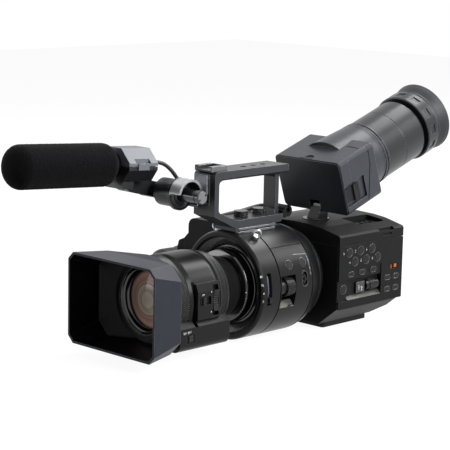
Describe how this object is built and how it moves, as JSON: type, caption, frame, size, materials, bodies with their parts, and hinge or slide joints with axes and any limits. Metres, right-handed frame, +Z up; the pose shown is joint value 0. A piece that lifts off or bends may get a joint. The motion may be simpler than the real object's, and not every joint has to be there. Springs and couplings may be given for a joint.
{
  "type": "camcorder",
  "caption": "Large-sensor camcorder with power-zoom lens, hood, top handle, shotgun microphone, tilting monitor with viewfinder loupe and right-hand grip.",
  "frame": {"origin": "mouth of the tripod thread in the middle of the flat base", "axes": "+Z up, -Y along the optical axis towards the subject, +X to the operator's left"},
  "size_m": [0.188, 0.5115, 0.2248],
  "materials": {
    "body_black": "fine satin texture",
    "barrel_black": "satin",
    "handle_grey": "satin",
    "hood_blue_grey": "satin",
    "loupe_grey": "satin",
    "silver": "satin",
    "mount_metal": "brushed",
    "bracket_grey": "satin",
    "knob_metal": "satin",
    "button_black": "satin",
    "button_red": "satin",
    "switch_orange": "satin",
    "ring_rubber": "matte",
    "eyecup_rubber": "matte",
    "cable_black": "matte",
    "foam_black": "open-cell foam",
    "strap_black": "woven",
    "grip_black": "matte",
    "lens_glass": "coated",
    "clear_glass": "clear",
    "screen_black": "glossy",
    "circuit": "matte",
    "battery_grey": "matte"
  },
  "bodies": {
    "body": {"front_barrel": "barrel_black", "lens_mount": "mount_metal", "control_barrel": "barrel_black", "side_housing": "body_black", "rear_housing": "body_black", "control_panel": "body_black", "top_cover": "body_black", "base_plate": "barrel_black", "rear_panel": "body_black", "battery": "battery_grey", "sensor_unit": "circuit", "handle_frame": "handle_grey", "handle_rail": "silver", "handle_screws": "button_black", "accessory_shoe": "silver", "strap_lugs": "silver", "cable_clamp": "button_black", "mic_bracket": "bracket_grey", "mic_cable": "cable_black", "mic_plug": "mount_metal", "lens_barrel": "barrel_black", "lens_glass": "lens_glass", "lens_hood": "hood_blue_grey"},
    "grip": {"grip": "grip_black", "grip_strap": "strap_black"},
    "mic_arm": {"mic_arm": "barrel_black", "microphone": "barrel_black", "windscreen": "foam_black"},
    "monitor_hinge": {"lcd_hinge": "barrel_black"},
    "monitor": {"lcd_panel": "loupe_grey", "lcd_screen": "screen_black", "loupe_hood": "loupe_grey", "loupe_tube": "loupe_grey", "loupe_lens": "clear_glass", "eyecup": "eyecup_rubber"},
    "record_button": {"record_button": "button_red"},
    "zoom_rocker": {"zoom_rocker": "button_black"},
    "mic_clamp_lid": {"mic_clamp_lid": "bracket_grey"},
    "mic_knob": {"mic_knob": "knob_metal"},
    "loupe_latch": {"loupe_latch": "loupe_grey"},
    "loupe_focus_ring": {"loupe_focus_ring": "ring_rubber"},
    "lens_focus_ring": {"lens_focus_ring": "ring_rubber"},
    "lens_zoom_ring": {"lens_zoom_ring": "ring_rubber"},
    "zoom_lever": {"zoom_lever": "button_black"},
    "zoom_mode_switch": {"zoom_mode_switch": "button_black"},
    "nd_lever": {"nd_lever": "knob_metal"},
    "iris_dial": {"iris_dial": "button_black"},
    "auto_iris_button": {"auto_iris_button": "button_black"},
    "focus_assist_button": {"focus_assist_button": "button_black"},
    "focus_switch": {"focus_switch": "button_black"},
    "assign_button_1": {"assign_button_1": "button_black"},
    "assign_button_2": {"assign_button_2": "button_black"},
    "assign_button_3": {"assign_button_3": "button_black"},
    "assign_button_4": {"assign_button_4": "button_black"},
    "assign_button_5": {"assign_button_5": "button_black"},
    "assign_button_6": {"assign_button_6": "button_black"},
    "function_keys": {"function_keys": "button_black"},
    "speed_button": {"speed_button": "button_black"},
    "speed_dial": {"speed_dial": "button_black"},
    "hold_switch": {"hold_switch": "switch_orange"}
  },
  "joints": [
    {"name": "grip_rotation", "type": "hinge", "parent": "body", "child": "grip", "pos_m": [-0.0914, -0.074, 0.05], "axis": [1, 0, 0], "range_deg": [-20, 70]},
    {"name": "record_press", "type": "slide", "parent": "grip", "child": "record_button", "axis": [0, 0, -1], "range_m": [0, 0.001], "stiffness_N_per_m": 400},
    {"name": "zoom_rocking", "type": "hinge", "parent": "grip", "child": "zoom_rocker", "pos_m": [-0.1019, -0.074, 0.0634], "axis": [1, 0, 0], "range_deg": [-8, 8], "stiffness_Nm_per_rad": 0.08},
    {"name": "mic_tilt", "type": "hinge", "parent": "body", "child": "mic_arm", "pos_m": [-0.04, -0.164, 0.14], "axis": [1, 0, 0], "range_deg": [-45, 20], "deforming": ["mic_cable"]},
    {"name": "mic_clamp_opening", "type": "hinge", "parent": "mic_arm", "child": "mic_clamp_lid", "pos_m": [-0.07, -0.20034, 0.1669], "axis": [0, -0.9979, 0.0645], "range_deg": [0, 95]},
    {"name": "mic_knob_turn", "type": "hinge", "parent": "body", "child": "mic_knob", "pos_m": [0.01, -0.164, 0.14], "axis": [1, 0, 0], "continuous": true},
    {"name": "monitor_swivel", "type": "hinge", "parent": "body", "child": "monitor_hinge", "pos_m": [0.0033, 0.002, 0.1], "axis": [0, 0, 1], "range_deg": [-90, 90]},
    {"name": "monitor_tilt", "type": "hinge", "parent": "monitor_hinge", "child": "monitor", "pos_m": [0.0033, 0.0079, 0.1141], "axis": [1, 0, 0], "range_deg": [-19, 56]},
    {"name": "loupe_latch_slide", "type": "slide", "parent": "monitor", "child": "loupe_latch", "axis": [0, 0.9455, 0.3256], "range_m": [0, 0.006], "stiffness_N_per_m": 300},
    {"name": "diopter_turn", "type": "hinge", "parent": "monitor", "child": "loupe_focus_ring", "pos_m": [0.0033, 0.13957, 0.18323], "axis": [0, 0.9455, 0.3256], "range_deg": [-60, 60]},
    {"name": "focus_turn", "type": "hinge", "parent": "body", "child": "lens_focus_ring", "pos_m": [0, -0.209, 0.052], "axis": [0, 1, 0], "continuous": true},
    {"name": "zoom_turn", "type": "hinge", "parent": "body", "child": "lens_zoom_ring", "pos_m": [0, -0.157, 0.052], "axis": [0, 1, 0], "range_deg": [-30, 60]},
    {"name": "zoom_lever_slide", "type": "slide", "parent": "body", "child": "zoom_lever", "axis": [0, 0, 1], "range_m": [-0.003, 0.003], "stiffness_N_per_m": 300},
    {"name": "zoom_mode_slide", "type": "slide", "parent": "body", "child": "zoom_mode_switch", "axis": [0, 1, 0], "range_m": [0, 0.005]},
    {"name": "nd_filter_turn", "type": "hinge", "parent": "body", "child": "nd_lever", "pos_m": [0, -0.113, 0.052], "axis": [0, -1, 0], "range_deg": [-2, 24]},
    {"name": "iris_turn", "type": "hinge", "parent": "body", "child": "iris_dial", "pos_m": [0.0435, -0.088, 0.0528], "axis": [0, 1, 0], "continuous": true},
    {"name": "auto_iris_press", "type": "slide", "parent": "body", "child": "auto_iris_button", "axis": [-0.9078, 0, -0.4195], "range_m": [0, 0.0008], "stiffness_N_per_m": 400},
    {"name": "focus_assist_press", "type": "slide", "parent": "body", "child": "focus_assist_button", "axis": [-0.9063, 0, -0.4226], "range_m": [0, 0.0008], "stiffness_N_per_m": 400},
    {"name": "focus_switch_turn", "type": "hinge", "parent": "body", "child": "focus_switch", "pos_m": [0, -0.0655, 0.052], "axis": [0, -1, 0], "range_deg": [-3, 3]},
    {"name": "assign_1_press", "type": "slide", "parent": "body", "child": "assign_button_1", "axis": [-1, 0, 0], "range_m": [0, 0.0009], "stiffness_N_per_m": 400},
    {"name": "assign_2_press", "type": "slide", "parent": "body", "child": "assign_button_2", "axis": [-1, 0, 0], "range_m": [0, 0.0009], "stiffness_N_per_m": 400},
    {"name": "assign_3_press", "type": "slide", "parent": "body", "child": "assign_button_3", "axis": [-1, 0, 0], "range_m": [0, 0.0009], "stiffness_N_per_m": 400},
    {"name": "assign_4_press", "type": "slide", "parent": "body", "child": "assign_button_4", "axis": [-1, 0, 0], "range_m": [0, 0.0009], "stiffness_N_per_m": 400},
    {"name": "assign_5_press", "type": "slide", "parent": "body", "child": "assign_button_5", "axis": [-1, 0, 0], "range_m": [0, 0.0009], "stiffness_N_per_m": 400},
    {"name": "assign_6_press", "type": "slide", "parent": "body", "child": "assign_button_6", "axis": [-1, 0, 0], "range_m": [0, 0.0009], "stiffness_N_per_m": 400},
    {"name": "function_keys_press", "type": "slide", "parent": "body", "child": "function_keys", "axis": [-1, 0, 0], "range_m": [0, 0.0006], "stiffness_N_per_m": 400},
    {"name": "speed_button_press", "type": "slide", "parent": "body", "child": "speed_button", "axis": [-1, 0, 0], "range_m": [0, 0.0009], "stiffness_N_per_m": 400},
    {"name": "speed_dial_turn", "type": "hinge", "parent": "body", "child": "speed_dial", "pos_m": [0.0538, 0.025, 0.0416], "axis": [0, 1, 0], "continuous": true},
    {"name": "hold_slide", "type": "slide", "parent": "body", "child": "hold_switch", "axis": [0, -1, 0], "range_m": [0, 0.005]}
  ]
}
